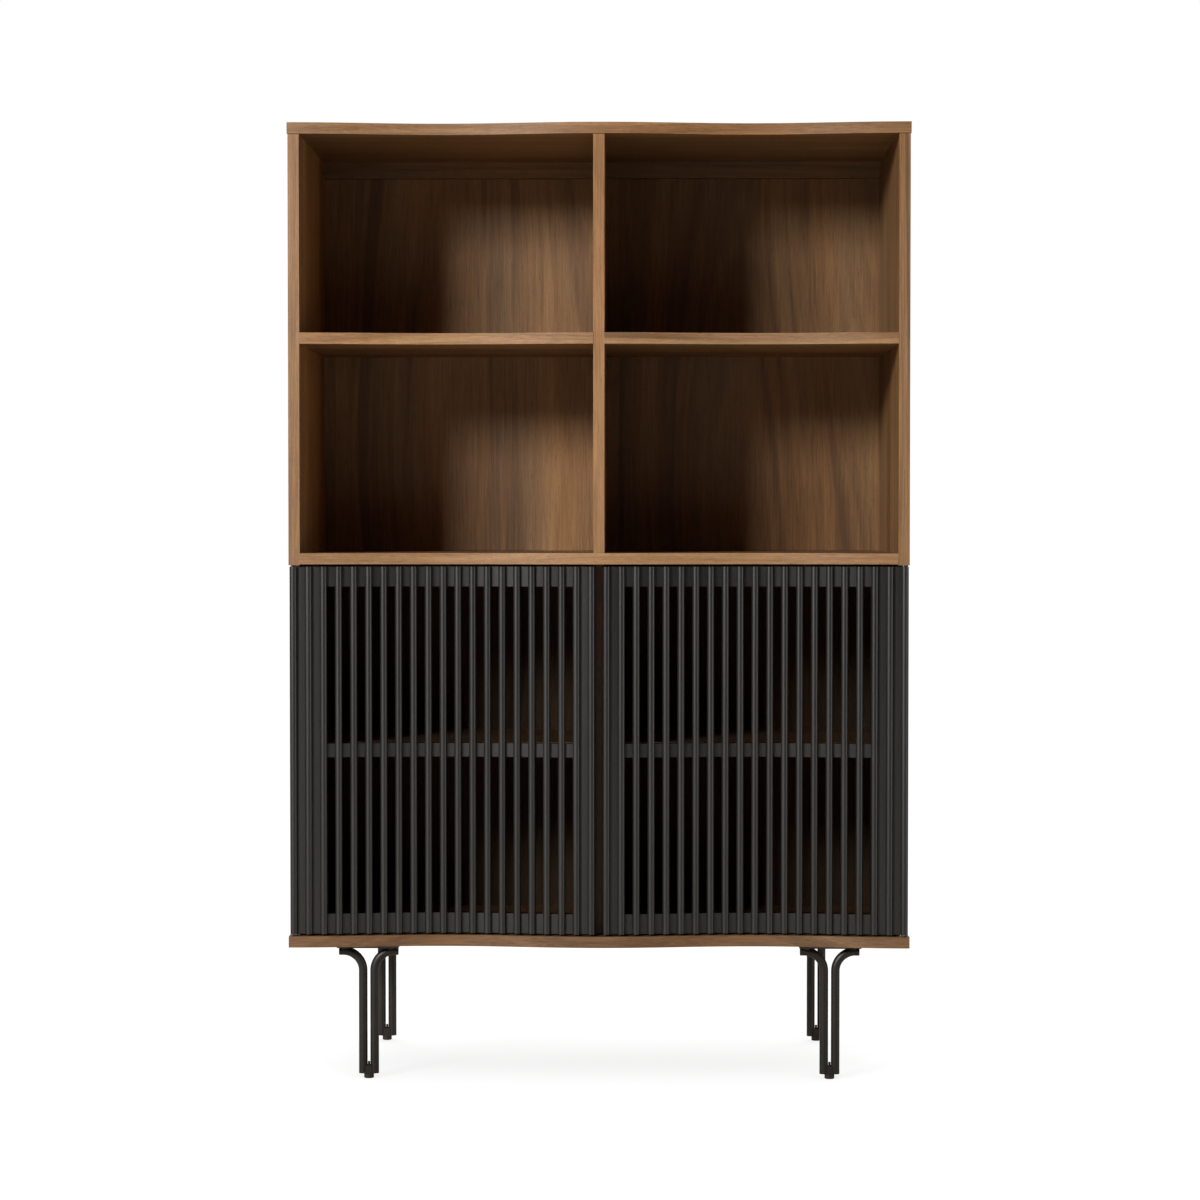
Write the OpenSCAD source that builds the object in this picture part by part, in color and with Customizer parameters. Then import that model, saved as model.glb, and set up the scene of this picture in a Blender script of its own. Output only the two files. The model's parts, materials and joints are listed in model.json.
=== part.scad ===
// Cube storage unit: four open cubes over two curved doors of upright rods, on bent-tube legs.
// X runs across the front, Y from the front to the back, Z up from the floor. Sizes in mm.
// A door's pieces are drawn for the right door (s = 1) and the left door (s = -1).

/* [Body] */
// Overall width of the top and bottom panels
body_w = 1000; // [920:10:1080]
// Overall depth, from the crests of the wavy front to the back
body_d = 424; // [410:2:460]
// Thickness of every board of the body
board = 18; // [17:1:20]
// How far the wavy front edges fall back between their crests
wave_depth = 22; // [10:1:24]
// Clear height of the two top cubes
top_cube_h = 318; // [280:1:360]
// Clear height of the two middle cubes
mid_cube_h = 336; // [280:1:360]
// Clear height of the space behind the doors
door_space_h = 600; // [560:10:640]
// Thickness of the back panel
back_t = 6; // [5:0.5:8]
// Height of the rails under the top at the back
rail_h = 28; // [20:1:40]

/* [Doors] */
// Diameter of the upright rods
rod_d = 12; // [10:0.5:13]
// Number of rods on each door
rod_count = 21; // [19:1:23]
// Width of the gap between the doors, where the fingers go
finger_gap = 12; // [10:1:14]
// Thickness of the door frame behind the rods
frame_t = 18; // [17:0.5:20]
// Width of the stile on the pivot side of a door
outer_stile_w = 59.5; // [50:0.5:70]
// Width of the stile on the finger-gap side of a door
inner_stile_w = 36; // [30:1:50]
// Height of the top and bottom rails of a door
end_rail_h = 32; // [28:1:40]
// Height of the middle rail of a door
mid_rail_h = 22; // [16:1:30]

/* [Shelves] */
// Depth of the loose shelves behind the doors
low_shelf_d = 330; // [280:5:335]
// Spacing of the shelf pin holes
pin_pitch = 32; // [25:1:40]
// Number of pin holes in a row
pin_rows = 5; // [1:2:7]

/* [Legs] */
// Height from the floor to the underside of the body
leg_h = 217; // [190:1:240]
// Outside diameter of the leg tubes
tube_d = 14; // [12:0.5:14]
// Distance between the axes of the two tubes of a leg
tube_gap = 18.5; // [18.5:0.5:22]
// Radius of the bend at the top of a leg tube
bend_r = 32; // [24:1:34]
// Half of the overall width of a leg at its top
leg_reach = 48; // [46:1:52]
// Distance of the leg axes from the middle of the body
leg_x = 374; // [340:1:390]
// Distance of the front leg axes from the crests of the front
front_leg_in = 38; // [36:1:60]
// Distance of the rear leg axes from the back
rear_leg_in = 24; // [23:1:60]
// Diameter of the glides
glide_d = 16; // [14:1:20]
// Height of the glides
glide_h = 7.5; // [6:0.5:12]

/* [Hidden] */
$fn = 48;

walnut = "saddlebrown";
black_wood = "dimgray";
bronze = "darkslategray";
steel = "silver";

// Body: crests of the wave at the sides and in the middle
front = -body_d / 2;
back = body_d / 2;
half_w = body_w / 2;
wave_steps = 100;
// The sides stand in a little from the ends and the crests of the top and bottom panels
side_end = 1;
side_setback = 3;
side_out = half_w - side_end;
side_in = side_out - board;
side_front = front + side_setback;
inset = 2;
bottom_z = leg_h + board;
fixed_z = bottom_z + door_space_h;
mid_z = fixed_z + board + mid_cube_h;
top_z = mid_z + board + top_cube_h;

// Back panel: let into grooves, and stood in from the rear edges
groove = 6;
groove_play = 0.1;
groove_end_play = 0.3;
back_inset = 11;
back_y = back - back_inset - back_t;

// Doors: frame with one flat for each rod, half_gap from the middle of the body
half_gap = finger_gap / 2;
door_end = 2;
door_out = half_w - door_end;
rod_pitch = (door_out - half_gap - rod_d) / (rod_count - 1);
flat_0 = half_gap + rod_d / 2 - rod_pitch / 2;
rod_flat = rod_d / 6;
glue = 0.02;
flat_y = inset + rod_d / 2 + rod_flat;
frame_end = 0.5;
frame_out = door_out - frame_end;
frame_back = front + flat_y + frame_t;
behind_door = 2;
carcass_front = frame_back + behind_door;
foot_gap = 3;
head_gap = 4;
door_z = bottom_z + foot_gap;
door_top = fixed_z - head_gap;
door_h = door_top - door_z;
// The sides are cut back up to just under the fixed shelf's lower face
notch_drop = 1.5;
notch_z = fixed_z - notch_drop;

// Pivots: a pin in the body turns in a bush in each end of the outer stile
pivot_r = frame_t / 2;
pivot_x = frame_out - pivot_r;
pivot_y = frame_back - pivot_r;
pin_r = 3;
running_fit = 0.05;
bush_r = 5;
bush_l = 20;
pin_in_bush = 18;
pin_in_body = 14;
pin_end_play = 0.2;
collar_r = 6;
collar_play = 0.1;

// Shelves behind the doors lie level with the middle rail
low_shelf_z = (door_z + door_top) / 2 - board / 2;
shelf_play = 1;
low_shelf_back = back_y - shelf_play;
shelf_pin_r = 2.5;
shelf_pin_in = 8;
shelf_pin_end_play = 0.5;
// The pins stand this far in from the front and the rear edge of the shelf
front_pin_in = 46;
rear_pin_in = 64;
shelf_pin_y = [low_shelf_back - low_shelf_d + front_pin_in, low_shelf_back - rear_pin_in];
drill = 0.05;

// Dowels in the joints of the body: the long ones pass through the upper divider
dowel_r = 4;
dowel_l = 30;
through_l = dowel_l + board;
dowel_rows = [-150, -20, 150];
low_dowel_rows = [-110, 20, 110];
rail_dowel_y = back_y - board / 2;
rail_dowel_z = top_z - rail_h / 2;

// Legs
plate_t = 3;
plate_margin = 2;
plate_l = 2 * (leg_reach + plate_margin);
plate_w = 44;
tube_wall = 1.5;
tube_z = leg_h - plate_t - tube_d / 2;
bend_z = tube_z - bend_r;
glide_play = 0.2;
foot_z = glide_h + glide_play;
foot_h = 13;
foot_w = 11;
stud_r = 1.9;
stud_over = 6;
stud_top = foot_z + foot_h + stud_over;
glide_ease = 1;
screw_r = 2;
screw_l = 14;
head_r = 4;
head_h = 2.2;
screw_x = 38;
screw_y = 15;
front_leg_y = front + front_leg_in;
rear_leg_y = back - rear_leg_in;

// Y of the wavy front at x, for a board set back by s
function wave(x, s) = front + s + wave_depth / 2 * (1 - cos(720 * x / body_w));
// X of the edges between the rods' flats
function flat_x(i) = flat_0 + rod_pitch * i;
// Y of the front of the door frame at x, straight along each flat
function frame_y(x) =
  let (i = floor((x - flat_0) / rod_pitch), x0 = flat_x(i), x1 = flat_x(i + 1))
  let (y0 = wave(x0, flat_y), y1 = wave(x1, flat_y))
  y0 + (x - x0) / rod_pitch * (y1 - y0);
// Front outline of the door frame from x0 to x1
function frame_front(x0, x1) = concat(
  [[x0, frame_y(x0)]],
  [for (i = [0 : rod_count]) if (flat_x(i) > x0 + 0.1 && flat_x(i) < x1 - 0.1)
    [flat_x(i), frame_y(flat_x(i))]],
  [[x1, frame_y(x1)]]
);
function mirrored(points, s) = [for (p = points) [s * p[0], p[1]]];
function shifted(points, dy) = [for (p = points) [p[0], p[1] + dy]];
function reversed(points) = [for (i = [len(points) - 1 : -1 : 0]) points[i]];

// A level board from x0 to x1 with a wavy front edge
module wavy_board(x0, x1, y1, z, s) {
  span = x1 - x0;
  n = ceil(wave_steps * span / body_w);
  edge = [for (i = [0 : n]) [x0 + span * i / n, wave(x0 + span * i / n, s)]];
  translate([0, 0, z])
    linear_extrude(board)
      polygon(concat(edge, [[x1, y1], [x0, y1]]));
}

module box(x0, x1, y0, y1, z0, z1) {
  translate([x0, y0, z0])
    cube([x1 - x0, y1 - y0, z1 - z0]);
}

// Cylinder of length l about [0, 0, 0], along X or Z
module rod_x(r, l) {
  rotate([0, 90, 0])
    cylinder(r = r, h = l, center = true);
}

module rod_z(r, l) {
  cylinder(r = r, h = l, center = true);
}

// Every dowel of the body, or its hole if play is above 0
module dowels(play) {
  r = dowel_r + play;
  l = dowel_l + 4 * play;
  t = through_l + 4 * play;
  for (s = [-1, 1])
    for (y = dowel_rows) {
      for (z = [bottom_z, top_z])
        translate([s * (side_out - board / 2), y, z])
          rod_z(r, l);
      for (z = [fixed_z, mid_z])
        translate([s * side_in, y, z + board / 2])
          rod_x(r, l);
    }
  for (y = dowel_rows) {
    for (z = [fixed_z + board, top_z])
      translate([0, y, z])
        rod_z(r, l);
    translate([0, y, mid_z + board / 2])
      rod_x(r, t);
  }
  for (y = low_dowel_rows)
    for (z = [bottom_z, fixed_z])
      translate([0, y, z])
        rod_z(r, l);
  for (s = [-1, 1])
    translate([s * side_in, rail_dowel_y, rail_dowel_z])
      rod_x(r, l);
  translate([0, rail_dowel_y, rail_dowel_z])
    rod_x(r, t);
}

module dowel_holes() {
  dowels(drill);
}

// Groove for the back panel in the board around it
module back_groove() {
  reach = groove + groove_end_play;
  x = side_in + reach;
  box(-x, x, back_y - groove_play, back_y + back_t + groove_play, bottom_z - reach, top_z + reach);
}

// Holes for the pivot pins, at the foot and at the head of each door
module pivot_pin_holes() {
  for (s = [-1, 1]) {
    translate([s * pivot_x, pivot_y, bottom_z - pin_in_body - pin_end_play])
      cylinder(r = pin_r + drill, h = pin_in_body + pin_end_play + 1);
    translate([s * pivot_x, pivot_y, notch_z - 1])
      cylinder(r = pin_r + drill, h = pin_in_body + pin_end_play + 1);
  }
}

// Rows of shelf pin holes in the faces at x
module shelf_pin_holes(x) {
  depth = 2 * (shelf_pin_in + shelf_pin_end_play);
  for (y = shelf_pin_y)
    for (i = [0 : pin_rows - 1])
      translate([x, y, low_shelf_z - shelf_pin_r + pin_pitch * (i - (pin_rows - 1) / 2)])
        rod_x(shelf_pin_r + drill, depth);
}

module top_panel() {
  color(walnut)
    difference() {
      wavy_board(-half_w, half_w, back, top_z, 0);
      dowel_holes();
      back_groove();
    }
}

module bottom_panel() {
  color(walnut)
    difference() {
      wavy_board(-half_w, half_w, back, leg_h, 0);
      dowel_holes();
      back_groove();
      pivot_pin_holes();
      for (x = [-leg_x, leg_x])
        for (y = [front_leg_y, rear_leg_y])
          translate([x, y, 0])
            leg_screw_holes();
    }
}

// Side panel, cut back below the fixed shelf to let the door lie in front of it
module side_panel(s) {
  x0 = min(s * side_in, s * side_out);
  color(walnut)
    difference() {
      box(x0, x0 + board, side_front, back, bottom_z, top_z);
      box(x0 - 1, x0 + board + 1, side_front - 1, carcass_front, bottom_z - 1, notch_z);
      dowel_holes();
      back_groove();
      pivot_pin_holes();
      shelf_pin_holes(s * side_in);
    }
}

module fixed_shelf() {
  color(walnut)
    difference() {
      wavy_board(-side_in, side_in, back_y, fixed_z, inset);
      dowel_holes();
    }
}

module upper_divider() {
  color(walnut)
    difference() {
      box(-board / 2, board / 2, side_front, back_y, fixed_z + board, top_z);
      dowel_holes();
    }
}

module lower_divider() {
  color(walnut)
    difference() {
      box(-board / 2, board / 2, carcass_front, back_y, bottom_z, fixed_z);
      dowel_holes();
      shelf_pin_holes(-board / 2);
      shelf_pin_holes(board / 2);
    }
}

module upper_shelf(s) {
  x0 = s > 0 ? board / 2 : -side_in;
  color(walnut)
    difference() {
      wavy_board(x0, x0 + side_in - board / 2, back_y, mid_z, inset);
      dowel_holes();
    }
}

// Loose shelf with play at each end
module lower_shelf(s) {
  x0 = s > 0 ? board / 2 + shelf_play : shelf_play - side_in;
  color(walnut)
    box(x0, x0 + side_in - board / 2 - 2 * shelf_play, low_shelf_back - low_shelf_d,
      low_shelf_back, low_shelf_z, low_shelf_z + board);
}

module back_panel() {
  x = side_in + groove;
  color(walnut)
    box(-x, x, back_y, back_y + back_t, bottom_z - groove, top_z + groove);
}

module back_rail(s) {
  x0 = s > 0 ? board / 2 : -side_in;
  color(walnut)
    difference() {
      box(x0, x0 + side_in - board / 2, back_y - board, back_y, top_z - rail_h, top_z);
      dowel_holes();
    }
}

// Round steel pins with eased ends, half in the board and half under the shelf
module shelf_pins() {
  color(steel)
    for (x = [-side_in, -board / 2, board / 2, side_in])
      for (y = shelf_pin_y)
        translate([x, y, low_shelf_z - shelf_pin_r])
          rod_x(shelf_pin_r, 2 * shelf_pin_in);
}

// The lower pins carry the doors on a collar
module pivot_pins() {
  foot_l = pin_in_body + foot_gap + pin_in_bush;
  head_l = pin_in_body + notch_z - door_top + pin_in_bush;
  color(steel)
    for (s = [-1, 1]) {
      translate([s * pivot_x, pivot_y, bottom_z - pin_in_body])
        union() {
          cylinder(r = pin_r, h = foot_l);
          translate([0, 0, pin_in_body])
            cylinder(r = collar_r, h = foot_gap - collar_play);
        }
      translate([s * pivot_x, pivot_y, door_top - pin_in_bush])
        cylinder(r = pin_r, h = head_l);
    }
}

module pivot_bushes(s) {
  color("goldenrod")
    for (z = [door_z, door_top - bush_l])
      translate([s * pivot_x, pivot_y, z])
        difference() {
          cylinder(r = bush_r, h = bush_l);
          translate([0, 0, -1])
            cylinder(r = pin_r + running_fit, h = bush_l + 2);
        }
}

// Outer stile, with its rear outer corner rounded about the pivot
module outer_stile(s) {
  x0 = frame_out - outer_stile_w;
  plan = concat(frame_front(x0, frame_out), [[frame_out, frame_back], [x0, frame_back]]);
  color(black_wood)
    difference() {
      translate([0, 0, door_z])
        linear_extrude(door_h)
          polygon(mirrored(plan, s));
      difference() {
        box(min(s * pivot_x, s * (frame_out + 1)), max(s * pivot_x, s * (frame_out + 1)),
          pivot_y, frame_back + 1, door_z - 1, door_top + 1);
        translate([s * pivot_x, pivot_y, door_z - 2])
          cylinder(r = pivot_r, h = door_h + 4);
      }
      for (z = [door_z - 1, door_top - bush_l])
        translate([s * pivot_x, pivot_y, z])
          cylinder(r = bush_r, h = bush_l + 1);
    }
}

module inner_stile(s) {
  x1 = half_gap + inner_stile_w;
  plan = concat(frame_front(half_gap, x1), [[x1, frame_back], [half_gap, frame_back]]);
  color(black_wood)
    translate([0, 0, door_z])
      linear_extrude(door_h)
        polygon(mirrored(plan, s));
}

// Curved rail between the stiles, h high, with its underside at z
module door_rail(s, z, h) {
  edge = frame_front(half_gap + inner_stile_w, frame_out - outer_stile_w);
  plan = concat(edge, reversed(shifted(edge, frame_t)));
  color(black_wood)
    translate([0, 0, z])
      linear_extrude(h)
        polygon(mirrored(plan, s));
}

// Rods with a flat along the back, each standing square on its own flat of the frame
module rods(s) {
  color("black")
    for (i = [0 : rod_count - 1]) {
      xm = flat_x(i + 0.5);
      slope = atan2(frame_y(flat_x(i + 1) - 0.01) - frame_y(flat_x(i) + 0.01), rod_pitch - 0.02);
      translate([s * xm, frame_y(xm), door_z])
        rotate([0, 0, s * slope])
          translate([0, -rod_flat - glue, 0])
            difference() {
              cylinder(d = rod_d, h = door_h);
              translate([-rod_d, rod_flat, -1])
                cube([2 * rod_d, rod_d, door_h + 2]);
            }
    }
}

// One tube of a leg: upright, bend and level end; t is the outer or the inner diameter
module bent_tube(s, t, end) {
  x = s * tube_gap / 2;
  union() {
    translate([x, 0, foot_z - end])
      cylinder(d = t, h = bend_z - foot_z + end);
    translate([x + s * bend_r, 0, bend_z])
      rotate([90, 0, 0])
        rotate([0, 0, s > 0 ? 90 : 0])
          rotate_extrude(angle = 90)
            translate([bend_r, 0])
              circle(d = t);
    translate([s * (leg_reach + end + tube_gap / 2 + bend_r) / 2, 0, tube_z])
      rod_x(t / 2, leg_reach + end - tube_gap / 2 - bend_r);
  }
}

// The two bent tubes of a leg
module leg_tubes(x, y) {
  color(bronze)
    translate([x, y, 0])
      for (s = [-1, 1])
        difference() {
          bent_tube(s, tube_d, 0);
          bent_tube(s, tube_d - 2 * tube_wall, 1);
        }
}

// Block between the feet of the two tubes, bored for the glide's stud
module foot_block(x, y) {
  color(bronze)
    translate([x, y, 0])
      difference() {
        box(-foot_w / 2, foot_w / 2, -tube_d / 2, tube_d / 2, foot_z, foot_z + foot_h);
        for (s = [-1, 1])
          translate([s * tube_gap / 2, 0, foot_z - 1])
            cylinder(d = tube_d + 2 * glue, h = foot_h + 2);
        translate([0, 0, foot_z - 1])
          cylinder(r = stud_r + running_fit, h = foot_h + 2);
      }
}

// The four screws of a leg plate stand at these places about the leg's axis
module at_leg_screws() {
  for (sx = [-1, 1])
    for (sy = [-1, 1])
      translate([sx * screw_x, sy * screw_y, 0])
        children();
}

module leg_screw_holes() {
  at_leg_screws()
    translate([0, 0, leg_h - plate_t - 1])
      cylinder(r = screw_r + drill, h = screw_l + 1.5);
}

module leg_plate(x, y) {
  color(bronze)
    translate([x, y, 0])
      difference() {
        box(-plate_l / 2, plate_l / 2, -plate_w / 2, plate_w / 2, leg_h - plate_t, leg_h);
        leg_screw_holes();
      }
}

// Button-head screws, each with a hexagon socket
module leg_screws() {
  color(steel)
    for (x = [-leg_x, leg_x])
      for (y = [front_leg_y, rear_leg_y])
        translate([x, y, 0])
          at_leg_screws()
            translate([0, 0, leg_h - plate_t])
              difference() {
                union() {
                  cylinder(r = screw_r, h = screw_l);
                  translate([0, 0, -head_h])
                    cylinder(r = head_r, h = head_h);
                }
                translate([0, 0, -head_h - 1])
                  cylinder(r = head_r / 3, h = head_h / 2 + 1, $fn = 6);
              }
}

// Glide: a round foot with an eased lower edge on a stud that slides in the foot block
module glide(x, y) {
  color("dimgray")
    translate([x, y, 0])
      union() {
        cylinder(d1 = glide_d - 2 * glide_ease, d2 = glide_d, h = glide_ease);
        translate([0, 0, glide_ease])
          cylinder(d = glide_d, h = glide_h - glide_ease);
        translate([0, 0, glide_h])
          cylinder(r = stud_r, h = stud_top - glide_h);
      }
}

module carcass_dowels() {
  color("burlywood")
    dowels(0);
}

top_panel();
bottom_panel();
side_panel(-1);  // left_side_panel
side_panel(1);  // right_side_panel
fixed_shelf();
upper_divider();
lower_divider();
upper_shelf(-1);  // left_upper_shelf
upper_shelf(1);  // right_upper_shelf
lower_shelf(-1);  // left_lower_shelf
lower_shelf(1);  // right_lower_shelf
back_panel();
back_rail(-1);  // left_back_rail
back_rail(1);  // right_back_rail
carcass_dowels();
shelf_pins();
pivot_pins();
outer_stile(-1);  // left_outer_stile
inner_stile(-1);  // left_inner_stile
door_rail(-1, door_top - end_rail_h, end_rail_h);  // left_top_rail
door_rail(-1, (door_z + door_top - mid_rail_h) / 2, mid_rail_h);  // left_middle_rail
door_rail(-1, door_z, end_rail_h);  // left_bottom_rail
rods(-1);  // left_rods
pivot_bushes(-1);  // left_pivot_bushes
outer_stile(1);  // right_outer_stile
inner_stile(1);  // right_inner_stile
door_rail(1, door_top - end_rail_h, end_rail_h);  // right_top_rail
door_rail(1, (door_z + door_top - mid_rail_h) / 2, mid_rail_h);  // right_middle_rail
door_rail(1, door_z, end_rail_h);  // right_bottom_rail
rods(1);  // right_rods
pivot_bushes(1);  // right_pivot_bushes
leg_tubes(-leg_x, front_leg_y);  // front_left_leg_tubes
leg_tubes(leg_x, front_leg_y);  // front_right_leg_tubes
leg_tubes(-leg_x, rear_leg_y);  // rear_left_leg_tubes
leg_tubes(leg_x, rear_leg_y);  // rear_right_leg_tubes
foot_block(-leg_x, front_leg_y);  // front_left_foot_block
foot_block(leg_x, front_leg_y);  // front_right_foot_block
foot_block(-leg_x, rear_leg_y);  // rear_left_foot_block
foot_block(leg_x, rear_leg_y);  // rear_right_foot_block
leg_plate(-leg_x, front_leg_y);  // front_left_leg_plate
leg_plate(leg_x, front_leg_y);  // front_right_leg_plate
leg_plate(-leg_x, rear_leg_y);  // rear_left_leg_plate
leg_plate(leg_x, rear_leg_y);  // rear_right_leg_plate
leg_screws();
glide(-leg_x, front_leg_y);  // front_left_glide
glide(leg_x, front_leg_y);  // front_right_glide
glide(-leg_x, rear_leg_y);  // rear_left_glide
glide(leg_x, rear_leg_y);  // rear_right_glide
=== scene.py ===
"""Looks of the cube storage unit: walnut body, black rod doors and bent-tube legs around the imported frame."""

import json
import math

import bpy
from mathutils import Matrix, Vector


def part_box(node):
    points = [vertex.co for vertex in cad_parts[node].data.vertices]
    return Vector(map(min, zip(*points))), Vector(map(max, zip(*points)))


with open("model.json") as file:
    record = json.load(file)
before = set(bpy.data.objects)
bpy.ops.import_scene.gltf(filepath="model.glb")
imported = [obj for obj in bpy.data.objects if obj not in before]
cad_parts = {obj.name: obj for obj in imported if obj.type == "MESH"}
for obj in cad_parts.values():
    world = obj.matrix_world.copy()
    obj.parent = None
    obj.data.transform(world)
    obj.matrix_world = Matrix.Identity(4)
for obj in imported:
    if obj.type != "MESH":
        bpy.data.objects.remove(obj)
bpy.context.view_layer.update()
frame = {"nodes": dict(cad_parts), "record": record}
scene = bpy.context.scene

# ---------------------------------------------------------------- values
X, Y, Z = 0, 1, 2

# walnut from the darkest line of the grain to the lightest, before a board's tone, which on some boards paints
# light and on others shade
WALNUT_RAMP = [
    (0.26, (0.130, 0.057, 0.0165)),
    (0.42, (0.210, 0.100, 0.0315)),
    (0.55, (0.283, 0.142, 0.048)),
    (0.72, (0.380, 0.205, 0.077)),
]
WALNUT_VEIN = (0.085, 0.034, 0.012)
WALNUT_PORE = (0.075, 0.032, 0.013)
# hue that changes slowly across a board
WARMTH_RAMP = [(0.35, (0.90, 0.95, 1.04)), (0.65, (1.10, 1.04, 0.93))]
# hue of the front edge against its board: partly its lighter solid lipping, partly a painted highlight
LIP_AND_HIGHLIGHT_HUE = (0.95, 0.99, 1.22)
# how deep under the face the heart of the tree lies
HEART_DEPTH = 0.05
# each board is cut from another place along the tree, this far apart
SEED_STEP = 0.37

# veneer leaves of the back panel, side by side across the width
LEAF_WIDTH = 0.246
LEAF_OFFSET = 2 * LEAF_WIDTH - 0.030
LEAF_STEP = 0.83
# painted shade: tone of the back panel behind the doors, where the doors shade it, against the part above
SHADE_BEHIND_DOORS = 0.25

BLACK_RAMP = [
    (0.30, (0.0072, 0.0069, 0.0065)),
    (0.52, (0.0130, 0.0125, 0.0119)),
    (0.72, (0.0213, 0.0205, 0.0194)),
]
BLACK_PORE = (0.006, 0.0055, 0.005)
BRONZE_RAMP = [(0.3, (0.0190, 0.0162, 0.0140)), (0.7, (0.0280, 0.0238, 0.0205))]
BRONZE_SPECK = (0.09, 0.078, 0.066)
STEEL = (0.55, 0.54, 0.52)
BRASS = (0.72, 0.50, 0.20)
TARNISH = 0.72
PLASTIC = (0.022, 0.020, 0.019)
PLASTIC_SCUFF = (0.10, 0.095, 0.09)
SCUFF_HEIGHT = 0.004
BEECH_RAMP = [(0.35, (0.42, 0.27, 0.15)), (0.65, (0.60, 0.42, 0.26))]
LACQUER_IOR = 1.5

# eased edges
EASE = {"walnut": 0.0007, "black_wood": 0.0008}
EASE_SEGMENTS = 2
EASE_ANGLE = 35.0

FLOOR_HALF = 30.0
FLOOR_BOUNCE = (0.78, 0.70, 0.60)
FLOOR_LIT = (0.10, 0.10, 0.10)
# painted contact shadow: how dark the floor's glow gets close under the body, and how far that reaches
CONTACT_SHADE = 0.78
CONTACT_REACH = 0.45

# strength of the white surround as the camera sees it, in reflections, and as light on the object
WORLD_SEEN = 1.0
WORLD_GLOSSY = 0.025
WORLD_LIGHT = 0.009

REAR_AZIMUTH = 152
REAR_ELEVATION = 38
REAR_DISTANCE = 4.5
REAR_SIZE = (1.8, 1.8)
REAR_POWER = 80.0

CAMERA_LENS = 90.67
CAMERA_SENSOR = 36.0
CAMERA_PLACE = (0.056, -5.063, 0.904)
CAMERA_DOWN = 1.49
CAMERA_TURN = 0.638


# ---------------------------------------------------------------- shader helpers
def scaled(colour, factor):
    return tuple(c * factor for c in colour)


def opaque(colour):
    """A plain colour with its alpha; a socket is passed on."""
    return (*colour, 1) if isinstance(colour, tuple) else colour


class Tree:
    """Short calls for building one material's nodes."""

    def __init__(self, name):
        self.mat = bpy.data.materials.new(name)
        self.mat.use_nodes = True
        self.nt = self.mat.node_tree
        self.nt.nodes.clear()
        self.out = self.nt.nodes.new("ShaderNodeOutputMaterial")
        self.bsdf = self.nt.nodes.new("ShaderNodeBsdfPrincipled")
        self.link(self.bsdf.outputs["BSDF"], self.out.inputs["Surface"])

    def link(self, a, b):
        self.nt.links.new(a, b)

    def put(self, socket, value):
        if isinstance(value, bpy.types.NodeSocket):
            self.link(value, socket)
        else:
            socket.default_value = value

    def finish(self, name, value):
        """Sets one input of the surface."""
        self.put(self.bsdf.inputs[name], value)

    def math(self, op, a, b=None):
        n = self.nt.nodes.new("ShaderNodeMath")
        n.operation = op
        self.put(n.inputs[0], a)
        if b is not None:
            self.put(n.inputs[1], b)
        return n.outputs[0]

    def add(self, a, b):
        return self.math("ADD", a, b)

    def less(self, a, b):
        return self.math("SUBTRACT", a, b)

    def times(self, a, b):
        return self.math("MULTIPLY", a, b)

    def place(self):
        return self.nt.nodes.new("ShaderNodeTexCoord").outputs["Object"]

    def normal(self):
        return self.nt.nodes.new("ShaderNodeTexCoord").outputs["Normal"]

    def split(self, v):
        n = self.nt.nodes.new("ShaderNodeSeparateXYZ")
        self.link(v, n.inputs[0])
        return n.outputs[0], n.outputs[1], n.outputs[2]

    def join(self, x, y, z):
        n = self.nt.nodes.new("ShaderNodeCombineXYZ")
        for socket, value in zip(n.inputs, (x, y, z)):
            self.put(socket, value)
        return n.outputs[0]

    def noise(self, v, scale, detail, rough=0.5):
        n = self.nt.nodes.new("ShaderNodeTexNoise")
        self.link(v, n.inputs["Vector"])
        n.inputs["Scale"].default_value = scale
        n.inputs["Detail"].default_value = detail
        n.inputs["Roughness"].default_value = rough
        return n.outputs["Fac"]

    def streaks(self, parts, scales, detail, rough=0.5):
        """Noise drawn out along the parts that have the smaller scales."""
        x, y, z = (self.times(part, scale) for part, scale in zip(parts, scales))
        return self.noise(self.join(x, y, z), 1.0, detail, rough)

    def ramp(self, f, stops):
        n = self.nt.nodes.new("ShaderNodeValToRGB")
        while len(n.color_ramp.elements) < len(stops):
            n.color_ramp.elements.new(0.5)
        for element, (position, colour) in zip(n.color_ramp.elements, stops):
            element.position = position
            element.color = opaque(colour)
        self.link(f, n.inputs["Fac"])
        return n.outputs["Color"]

    def range(self, f, from_lo, from_hi, to_lo, to_hi, smooth=False):
        n = self.nt.nodes.new("ShaderNodeMapRange")
        n.interpolation_type = "SMOOTHSTEP" if smooth else "LINEAR"
        for i, value in enumerate((f, from_lo, from_hi, to_lo, to_hi)):
            self.put(n.inputs[i], value)
        return n.outputs[0]

    def mix(self, f, a, b, blend="MIX"):
        n = self.nt.nodes.new("ShaderNodeMix")
        n.data_type = "RGBA"
        n.blend_type = blend
        self.put(n.inputs[0], f)
        self.put(n.inputs[6], opaque(a))
        self.put(n.inputs[7], opaque(b))
        return n.outputs[2]

    def tint(self, colour, by):
        return self.mix(1.0, colour, by, "MULTIPLY")

    def bump(self, height, strength, distance):
        n = self.nt.nodes.new("ShaderNodeBump")
        n.inputs["Strength"].default_value = strength
        n.inputs["Distance"].default_value = distance
        self.link(height, n.inputs["Height"])
        self.link(n.outputs[0], self.bsdf.inputs["Normal"])


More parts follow.
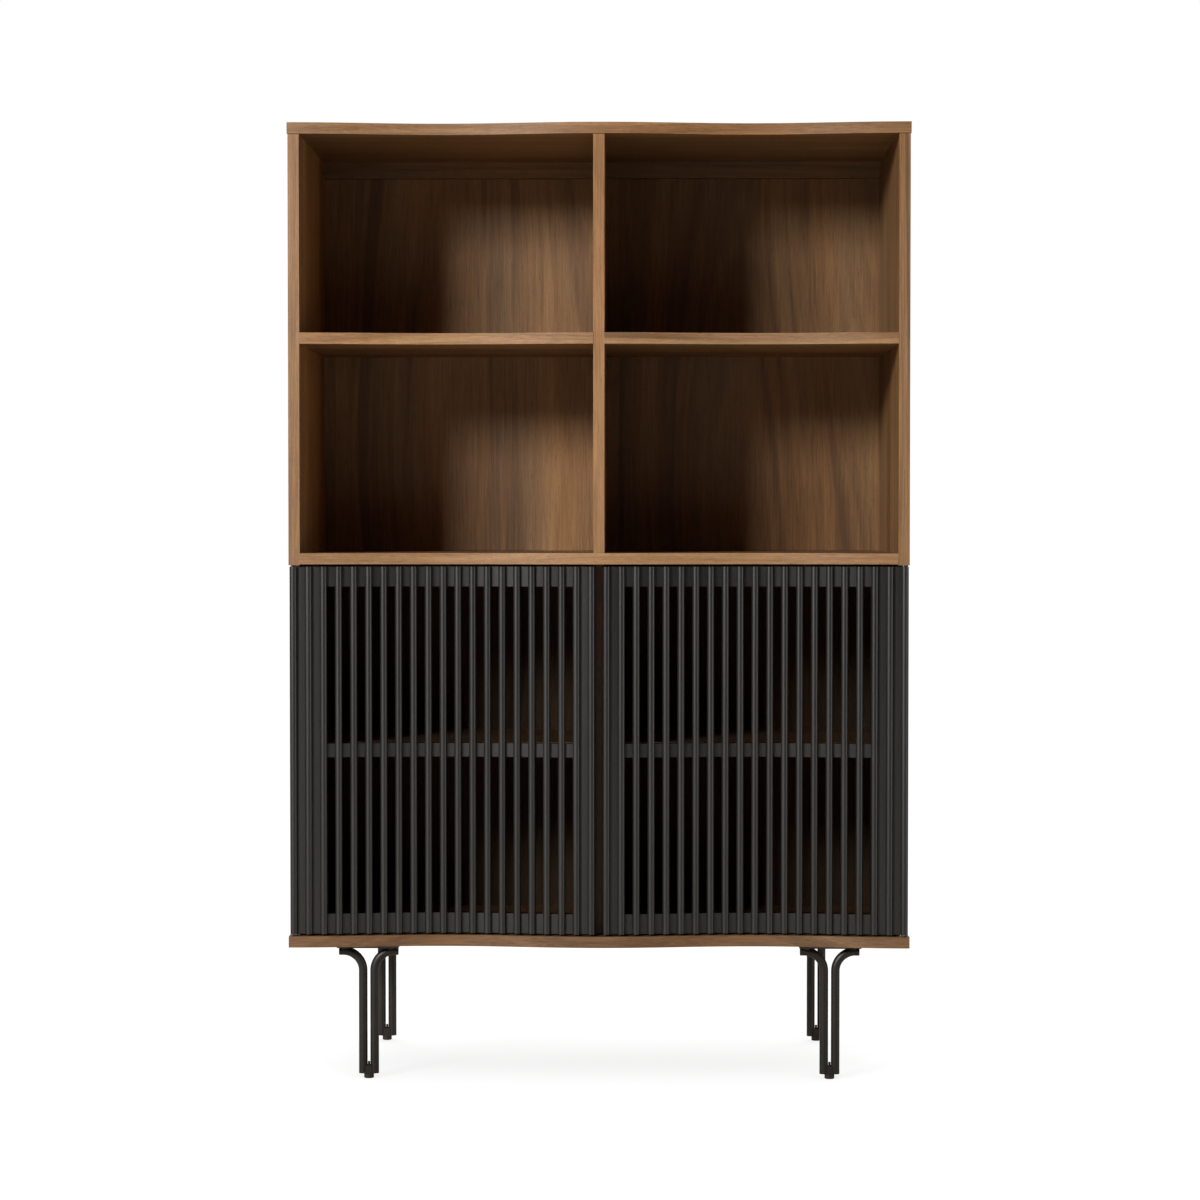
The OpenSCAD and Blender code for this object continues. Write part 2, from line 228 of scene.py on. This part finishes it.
# ---------------------------------------------------------------- walnut
def ring_radius(t, along, across, deep, pith, cone):
    """Distance from the heart of the tree: the grain wanders slowly, and the rings are cones."""
    parts = (across, along, deep)
    drift = t.less(t.streaks(parts, (2.6, 1.3, 1.0), 1.0), 0.5)
    ripple = t.less(t.streaks(parts, (11.0, 3.4, 1.0), 2.0), 0.5)
    side = t.add(t.add(across, -pith), t.add(t.times(drift, 0.06), t.times(ripple, 0.008)))
    swell = t.times(t.math("SINE", t.times(along, 2.1)), cone * 0.48)
    rise = t.add(swell, t.times(ripple, 0.02))
    under = t.add(deep, HEART_DEPTH)
    squares = t.add(t.times(side, side), t.add(t.times(rise, rise), t.times(under, under)))
    return t.math("SQRT", squares)


def into_leaves(t, along, across):
    """Cuts the face into veneer leaves, each from another place along the tree."""
    across = t.add(across, LEAF_OFFSET)
    cell = t.math("FLOOR", t.math("DIVIDE", across, LEAF_WIDTH))
    across = t.less(across, t.times(t.add(cell, 0.5), LEAF_WIDTH))
    along = t.add(along, t.times(cell, LEAF_STEP))
    tone = t.range(t.math("SINE", t.times(cell, 2.3)), -1.0, 1.0, 0.90, 1.04)
    return along, across, tone


def walnut(name, grain, face, seed, pith, tone=1.0, lip_and_highlight=1.3, leaves=False, cone=0.10, painted_shade_below=None):
    """Lacquered walnut veneer. grain and face are the axes along and across the grain. pith is how
    far the heart of the tree lies to one side, and cone how fast the rings taper along the grain.
    lip_and_highlight is how much lighter the front edge is, partly its lighter solid lipping and partly a
    painted highlight, or None for a board without one.
    painted_shade_below is the height under which the front face is darkened to the tone SHADE_BEHIND_DOORS, a
    painted shade."""
    t = Tree(name)
    xyz = t.split(t.place())
    along, across, deep = xyz[grain], xyz[face], xyz[3 - grain - face]
    if leaves:
        along, across, leaf_tone = into_leaves(t, along, across)
    along = t.add(along, SEED_STEP * seed)
    radius = ring_radius(t, along, across, deep, pith, cone)

    wide = t.streaks((radius, along, 3.1 + seed), (26.0, 0.55, 1.0), 2.0, 0.55)
    lines = t.streaks((radius, along, 7.7 + seed), (120.0, 1.1, 1.0), 3.0, 0.65)
    fibre = t.streaks((across, along, deep), (430.0, 9.0, 430.0), 3.0, 0.65)
    figure = t.add(t.add(t.times(wide, 0.75), t.times(lines, 0.60)), t.times(fibre, 0.55))
    colour = t.ramp(t.less(figure, 0.45), [(stop, scaled(c, tone)) for stop, c in WALNUT_RAMP])

    # dark veins follow the rings here and there
    veins = t.streaks((radius, along, 1.3 + seed), (62.0, 0.44, 1.0), 1.0)
    patch = t.streaks((across, along, 5.0 + seed), (7.0, 1.2, 1.0), 1.0)
    vein = t.times(t.range(veins, 0.59, 0.67, 0.0, 1.0, True), t.range(patch, 0.40, 0.60, 0.10, 0.85, True))
    colour = t.mix(t.times(vein, 0.75), colour, scaled(WALNUT_VEIN, tone))
    # open pores
    pores = t.streaks((across, along, deep), (1500.0, 55.0, 1500.0), 1.0)
    pit = t.range(pores, 0.60, 0.74, 0.0, 1.0, True)
    colour = t.mix(t.times(pit, 0.5), colour, scaled(WALNUT_PORE, tone))
    warmth = t.streaks((across, along, 9.0 + seed), (10.0, 0.9, 1.0), 1.0)
    colour = t.tint(colour, t.ramp(warmth, WARMTH_RAMP))
    if leaves:
        colour = t.tint(colour, t.join(leaf_tone, leaf_tone, leaf_tone))

    rough = t.add(t.times(pit, 0.15), t.range(fibre, 0.3, 0.7, 0.48, 0.56))
    to_front = t.range(t.split(t.normal())[Y], -0.9, -0.5, 1.0, 0.0)
    # painted shade: below the given height the front face of the back panel is darkened, where the doors and
    # shelves shade it, and made rougher
    if painted_shade_below is not None:
        painted_shade = t.times(to_front, t.range(xyz[Z], painted_shade_below, painted_shade_below + 0.001, 1.0, 0.0))
        rough = t.add(rough, t.times(painted_shade, 0.4))
        colour = t.mix(painted_shade, colour, t.tint(colour, (SHADE_BEHIND_DOORS, SHADE_BEHIND_DOORS, SHADE_BEHIND_DOORS)))
    # the front edge is made lighter and cooler: partly its lighter solid lipping, partly a painted highlight
    elif lip_and_highlight:
        colour = t.mix(to_front, colour, t.tint(colour, scaled(LIP_AND_HIGHLIGHT_HUE, lip_and_highlight)))
    t.finish("Base Color", colour)
    t.finish("Roughness", rough)
    t.finish("IOR", LACQUER_IOR)
    t.finish("Specular IOR Level", 0.7)
    t.bump(t.less(t.times(fibre, 0.35), pit), 0.12, 0.0002)
    return t.mat


# ---------------------------------------------------------------- other materials
def black_wood(name):
    """Black-stained wood under satin lacquer: open pores along Z."""
    t = Tree(name)
    xyz = t.split(t.place())
    fibre = t.streaks(xyz, (1100.0, 1100.0, 16.0), 3.0, 0.6)
    pores = t.streaks(xyz, (1700.0, 1700.0, 70.0), 1.0)
    cloud = t.streaks(xyz, (42.0, 42.0, 2.0), 2.0)
    colour = t.ramp(t.add(t.times(fibre, 0.6), t.times(cloud, 0.4)), BLACK_RAMP)
    pit = t.range(pores, 0.60, 0.72, 0.0, 1.0, True)
    t.finish("Base Color", t.mix(t.times(pit, 0.6), colour, BLACK_PORE))
    t.finish("Roughness", t.add(t.times(pit, 0.15), t.range(cloud, 0.3, 0.7, 0.33, 0.40)))
    t.finish("IOR", LACQUER_IOR)
    t.finish("Specular IOR Level", 0.9)
    t.bump(t.less(t.times(fibre, 0.4), pit), 0.12, 0.00015)
    return t.mat


def powder_coat(name):
    """Dark bronze powder coat with a fine orange-peel surface."""
    t = Tree(name)
    place = t.place()
    peel = t.noise(place, 1400.0, 2.0)
    speck = t.noise(place, 5200.0, 1.0)
    cloud = t.noise(place, 18.0, 2.0)
    colour = t.ramp(cloud, BRONZE_RAMP)
    t.finish("Base Color", t.mix(t.range(speck, 0.66, 0.74, 0.0, 0.5), colour, BRONZE_SPECK))
    t.finish("Roughness", t.range(peel, 0.3, 0.7, 0.34, 0.46))
    t.finish("Metallic", 0.1)
    t.bump(peel, 0.25, 0.00012)
    return t.mat


def metal(name, colour, rough):
    """Turned or drawn metal, with fine marks around Z."""
    t = Tree(name)
    place = t.place()
    marks = t.streaks(t.split(place), (200, 200, 3000), 2.0, 0.6)
    tint = t.noise(place, 60.0, 2.0)
    t.finish("Base Color", t.ramp(tint, [(0.3, scaled(colour, TARNISH)), (0.7, colour)]))
    t.finish("Roughness", t.range(marks, 0.3, 0.7, rough * 0.75, rough * 1.35))
    t.finish("Metallic", 1.0)
    t.bump(marks, 0.15, 0.00005)
    return t.mat


def plastic(name):
    """Dark moulded plastic with a fine grain and scuffs towards the floor."""
    t = Tree(name)
    place = t.place()
    grain = t.noise(place, 2600.0, 2.0, 0.6)
    near_floor = t.range(t.split(place)[Z], 0.0, SCUFF_HEIGHT, 1.0, 0.0)
    scuff = t.times(t.noise(place, 420.0, 3.0, 0.7), near_floor)
    t.finish("Base Color", t.mix(t.range(scuff, 0.45, 0.7, 0.0, 0.7), PLASTIC, PLASTIC_SCUFF))
    t.finish("Roughness", t.range(grain, 0.3, 0.7, 0.42, 0.60))
    t.bump(grain, 0.3, 0.0001)
    return t.mat


def beech(name):
    """Raw beech of the dowels, with short flecks."""
    t = Tree(name)
    fleck = t.streaks(t.split(t.place()), (500.0, 1400.0, 500.0), 3.0, 0.6)
    t.finish("Base Color", t.ramp(fleck, BEECH_RAMP))
    t.finish("Roughness", t.range(fleck, 0.3, 0.7, 0.5, 0.65))
    t.bump(fleck, 0.3, 0.0001)
    return t.mat


# ---------------------------------------------------------------- materials on the CAD nodes
looks = {
    # the lip factors below paint a highlight on the front edges, on top of their lighter solid lipping
    "top_panel": walnut("walnut_top", X, Y, seed=1, pith=0.40, tone=0.88, lip_and_highlight=1.48),
    "bottom_panel": walnut("walnut_bottom", X, Y, seed=268, pith=0.45, tone=0.9),
    "fixed_shelf": walnut("walnut_fixed", X, Y, seed=311, pith=-0.42, lip_and_highlight=1.5),
    "left_upper_shelf": walnut("walnut_upper_l", X, Y, seed=186, pith=0.35, lip_and_highlight=1.7),
    "right_upper_shelf": walnut("walnut_upper_r", X, Y, seed=5, pith=-0.38, lip_and_highlight=1.42),
    # painted shade: the lower shelves behind the doors get a dark tone
    "left_lower_shelf": walnut("walnut_lower_l", X, Y, seed=6, pith=0.30, tone=0.55),
    "right_lower_shelf": walnut("walnut_lower_r", X, Y, seed=7, pith=0.34, tone=0.55),
    # painted light: the left side panel gets a light tone; painted shade: the right side panel gets a darker
    # one
    "left_side_panel": walnut("walnut_side_l", Z, Y, seed=386, pith=0.36, tone=1.36, lip_and_highlight=1.1),
    "right_side_panel": walnut("walnut_side_r", Z, Y, seed=9, pith=-0.30, tone=0.84, lip_and_highlight=1.65),
    "upper_divider": walnut("walnut_divider_u", Z, Y, seed=346, pith=0.38, lip_and_highlight=1.75),
    # painted shade: the lower divider behind the doors gets a dark tone
    "lower_divider": walnut("walnut_divider_l", Z, Y, seed=11, pith=0.32, tone=0.40),
    "back_panel": walnut("walnut_back", Z, X, seed=446, pith=0.10, leaves=True, cone=0.22,
                         painted_shade_below=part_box("fixed_shelf")[1][2]),
    # painted shade: the back rails under the top get a darker tone
    "left_back_rail": walnut("walnut_rail_l", X, Z, seed=13, pith=0.30, tone=0.74, lip_and_highlight=None),
    "right_back_rail": walnut("walnut_rail_r", X, Z, seed=14, pith=0.32, tone=0.74, lip_and_highlight=None),
}
by_slot = {
    "black_wood": black_wood("black_wood"),
    "bronze": powder_coat("bronze_coat"),
    "steel": metal("steel", STEEL, 0.3),
    "brass": metal("brass", BRASS, 0.28),
    "glide_plastic": plastic("glide_plastic"),
    "beech": beech("beech"),
}
slots = {s["node"]: s["material_slot"] for s in frame["record"]["subparts"]}


def ease_edges(o, width):
    m = o.modifiers.new("ease", "BEVEL")
    m.width = width
    m.segments = EASE_SEGMENTS
    m.limit_method = "ANGLE"
    m.angle_limit = math.radians(EASE_ANGLE)


for name, o in frame["nodes"].items():
    material = looks.get(name) or by_slot[slots[name]]
    if not o.material_slots:
        o.data.materials.append(material)
    for s in o.material_slots:
        s.material = material
    if slots[name] in EASE:
        ease_edges(o, EASE[slots[name]])


# ---------------------------------------------------------------- floor
def floor_material():
    """Seen by the camera the floor is white, and its glow darkens softly close under the body as a painted
    contact shadow. The light that it throws back on the object is that of a duller, slightly warm floor."""
    t = Tree("floor")
    t.finish("Base Color", (*FLOOR_BOUNCE, 1))
    t.finish("Roughness", 0.9)
    ao = t.nt.nodes.new("ShaderNodeAmbientOcclusion")
    ao.samples = 16
    ao.inputs["Distance"].default_value = CONTACT_REACH
    seen = t.nt.nodes.new("ShaderNodeEmission")
    # painted contact shadow: the glow the camera sees is darkened where the floor is occluded
    t.link(t.range(ao.outputs["AO"], 0.0, 0.9, CONTACT_SHADE, 1.0, True), seen.inputs["Strength"])
    lit = t.nt.nodes.new("ShaderNodeBsdfDiffuse")
    lit.inputs["Color"].default_value = (*FLOOR_LIT, 1)
    both = t.nt.nodes.new("ShaderNodeAddShader")
    t.link(seen.outputs[0], both.inputs[0])
    t.link(lit.outputs[0], both.inputs[1])
    path = t.nt.nodes.new("ShaderNodeLightPath")
    pick = t.nt.nodes.new("ShaderNodeMixShader")
    t.link(path.outputs["Is Camera Ray"], pick.inputs[0])
    t.link(t.bsdf.outputs[0], pick.inputs[1])
    t.link(both.outputs[0], pick.inputs[2])
    t.link(pick.outputs[0], t.out.inputs["Surface"])
    return t.mat


floor_mesh = bpy.data.meshes.new("floor")
corners = [(sx * FLOOR_HALF, sy * FLOOR_HALF, 0) for sx, sy in ((-1, -1), (1, -1), (1, 1), (-1, 1))]
floor_mesh.from_pydata(corners, [], [(0, 1, 2, 3)])
floor = bpy.data.objects.new("floor", floor_mesh)
scene.collection.objects.link(floor)
floor.data.materials.append(floor_material())


# ---------------------------------------------------------------- light
def white_studio():
    """A surround that is seen white but gives the object little light."""
    world = bpy.data.worlds.new("studio")
    world.use_nodes = True
    scene.world = world
    nt = world.node_tree
    background = nt.nodes["Background"]
    background.inputs[0].default_value = (1, 1, 1, 1)
    rays = nt.nodes.new("ShaderNodeLightPath")
    unseen = nt.nodes.new("ShaderNodeMapRange")
    unseen.inputs[3].default_value = WORLD_LIGHT
    unseen.inputs[4].default_value = WORLD_GLOSSY
    level = nt.nodes.new("ShaderNodeMapRange")
    level.inputs[4].default_value = WORLD_SEEN
    nt.links.new(rays.outputs["Is Glossy Ray"], unseen.inputs[0])
    nt.links.new(unseen.outputs[0], level.inputs[3])
    nt.links.new(rays.outputs["Is Camera Ray"], level.inputs[0])
    nt.links.new(level.outputs[0], background.inputs[1])


def soft_light(name, azimuth, elevation, distance, size, power, target=(0, 0, 0.8)):
    """A rectangular light aimed at target. Azimuth 0 is in front, positive to the right."""
    a, e = math.radians(azimuth), math.radians(elevation)
    away = Vector((math.sin(a) * math.cos(e), -math.cos(a) * math.cos(e), math.sin(e)))
    data = bpy.data.lights.new(name, "AREA")
    data.shape = "RECTANGLE"
    data.size, data.size_y = size
    data.energy = power
    o = bpy.data.objects.new(name, data)
    scene.collection.objects.link(o)
    o.location = Vector(target) + away * distance
    o.rotation_mode = "QUATERNION"
    o.rotation_quaternion = (-away).to_track_quat("-Z", "Y")


white_studio()
soft_light("key", azimuth=-37.8, elevation=15.1, distance=6.3, size=(1.80, 1.11), power=305.0,
           target=(0, 0, 1.26))
soft_light("side_fill", azimuth=68, elevation=2, distance=4.5, size=(2.8, 2.4), power=30.0)
# lights behind the object, for its back and top
for side, azimuth in (("left", -REAR_AZIMUTH), ("right", REAR_AZIMUTH)):
    soft_light("rear_" + side, azimuth, REAR_ELEVATION, REAR_DISTANCE, REAR_SIZE, REAR_POWER)

# ---------------------------------------------------------------- camera
cam_data = bpy.data.cameras.new("camera")
cam_data.lens = CAMERA_LENS
cam_data.sensor_width = CAMERA_SENSOR
camera = bpy.data.objects.new("camera", cam_data)
scene.collection.objects.link(camera)
camera.location = CAMERA_PLACE
camera.rotation_euler = (math.radians(90 - CAMERA_DOWN), 0, math.radians(CAMERA_TURN))
scene.camera = camera

scene.view_settings.view_transform = "Standard"
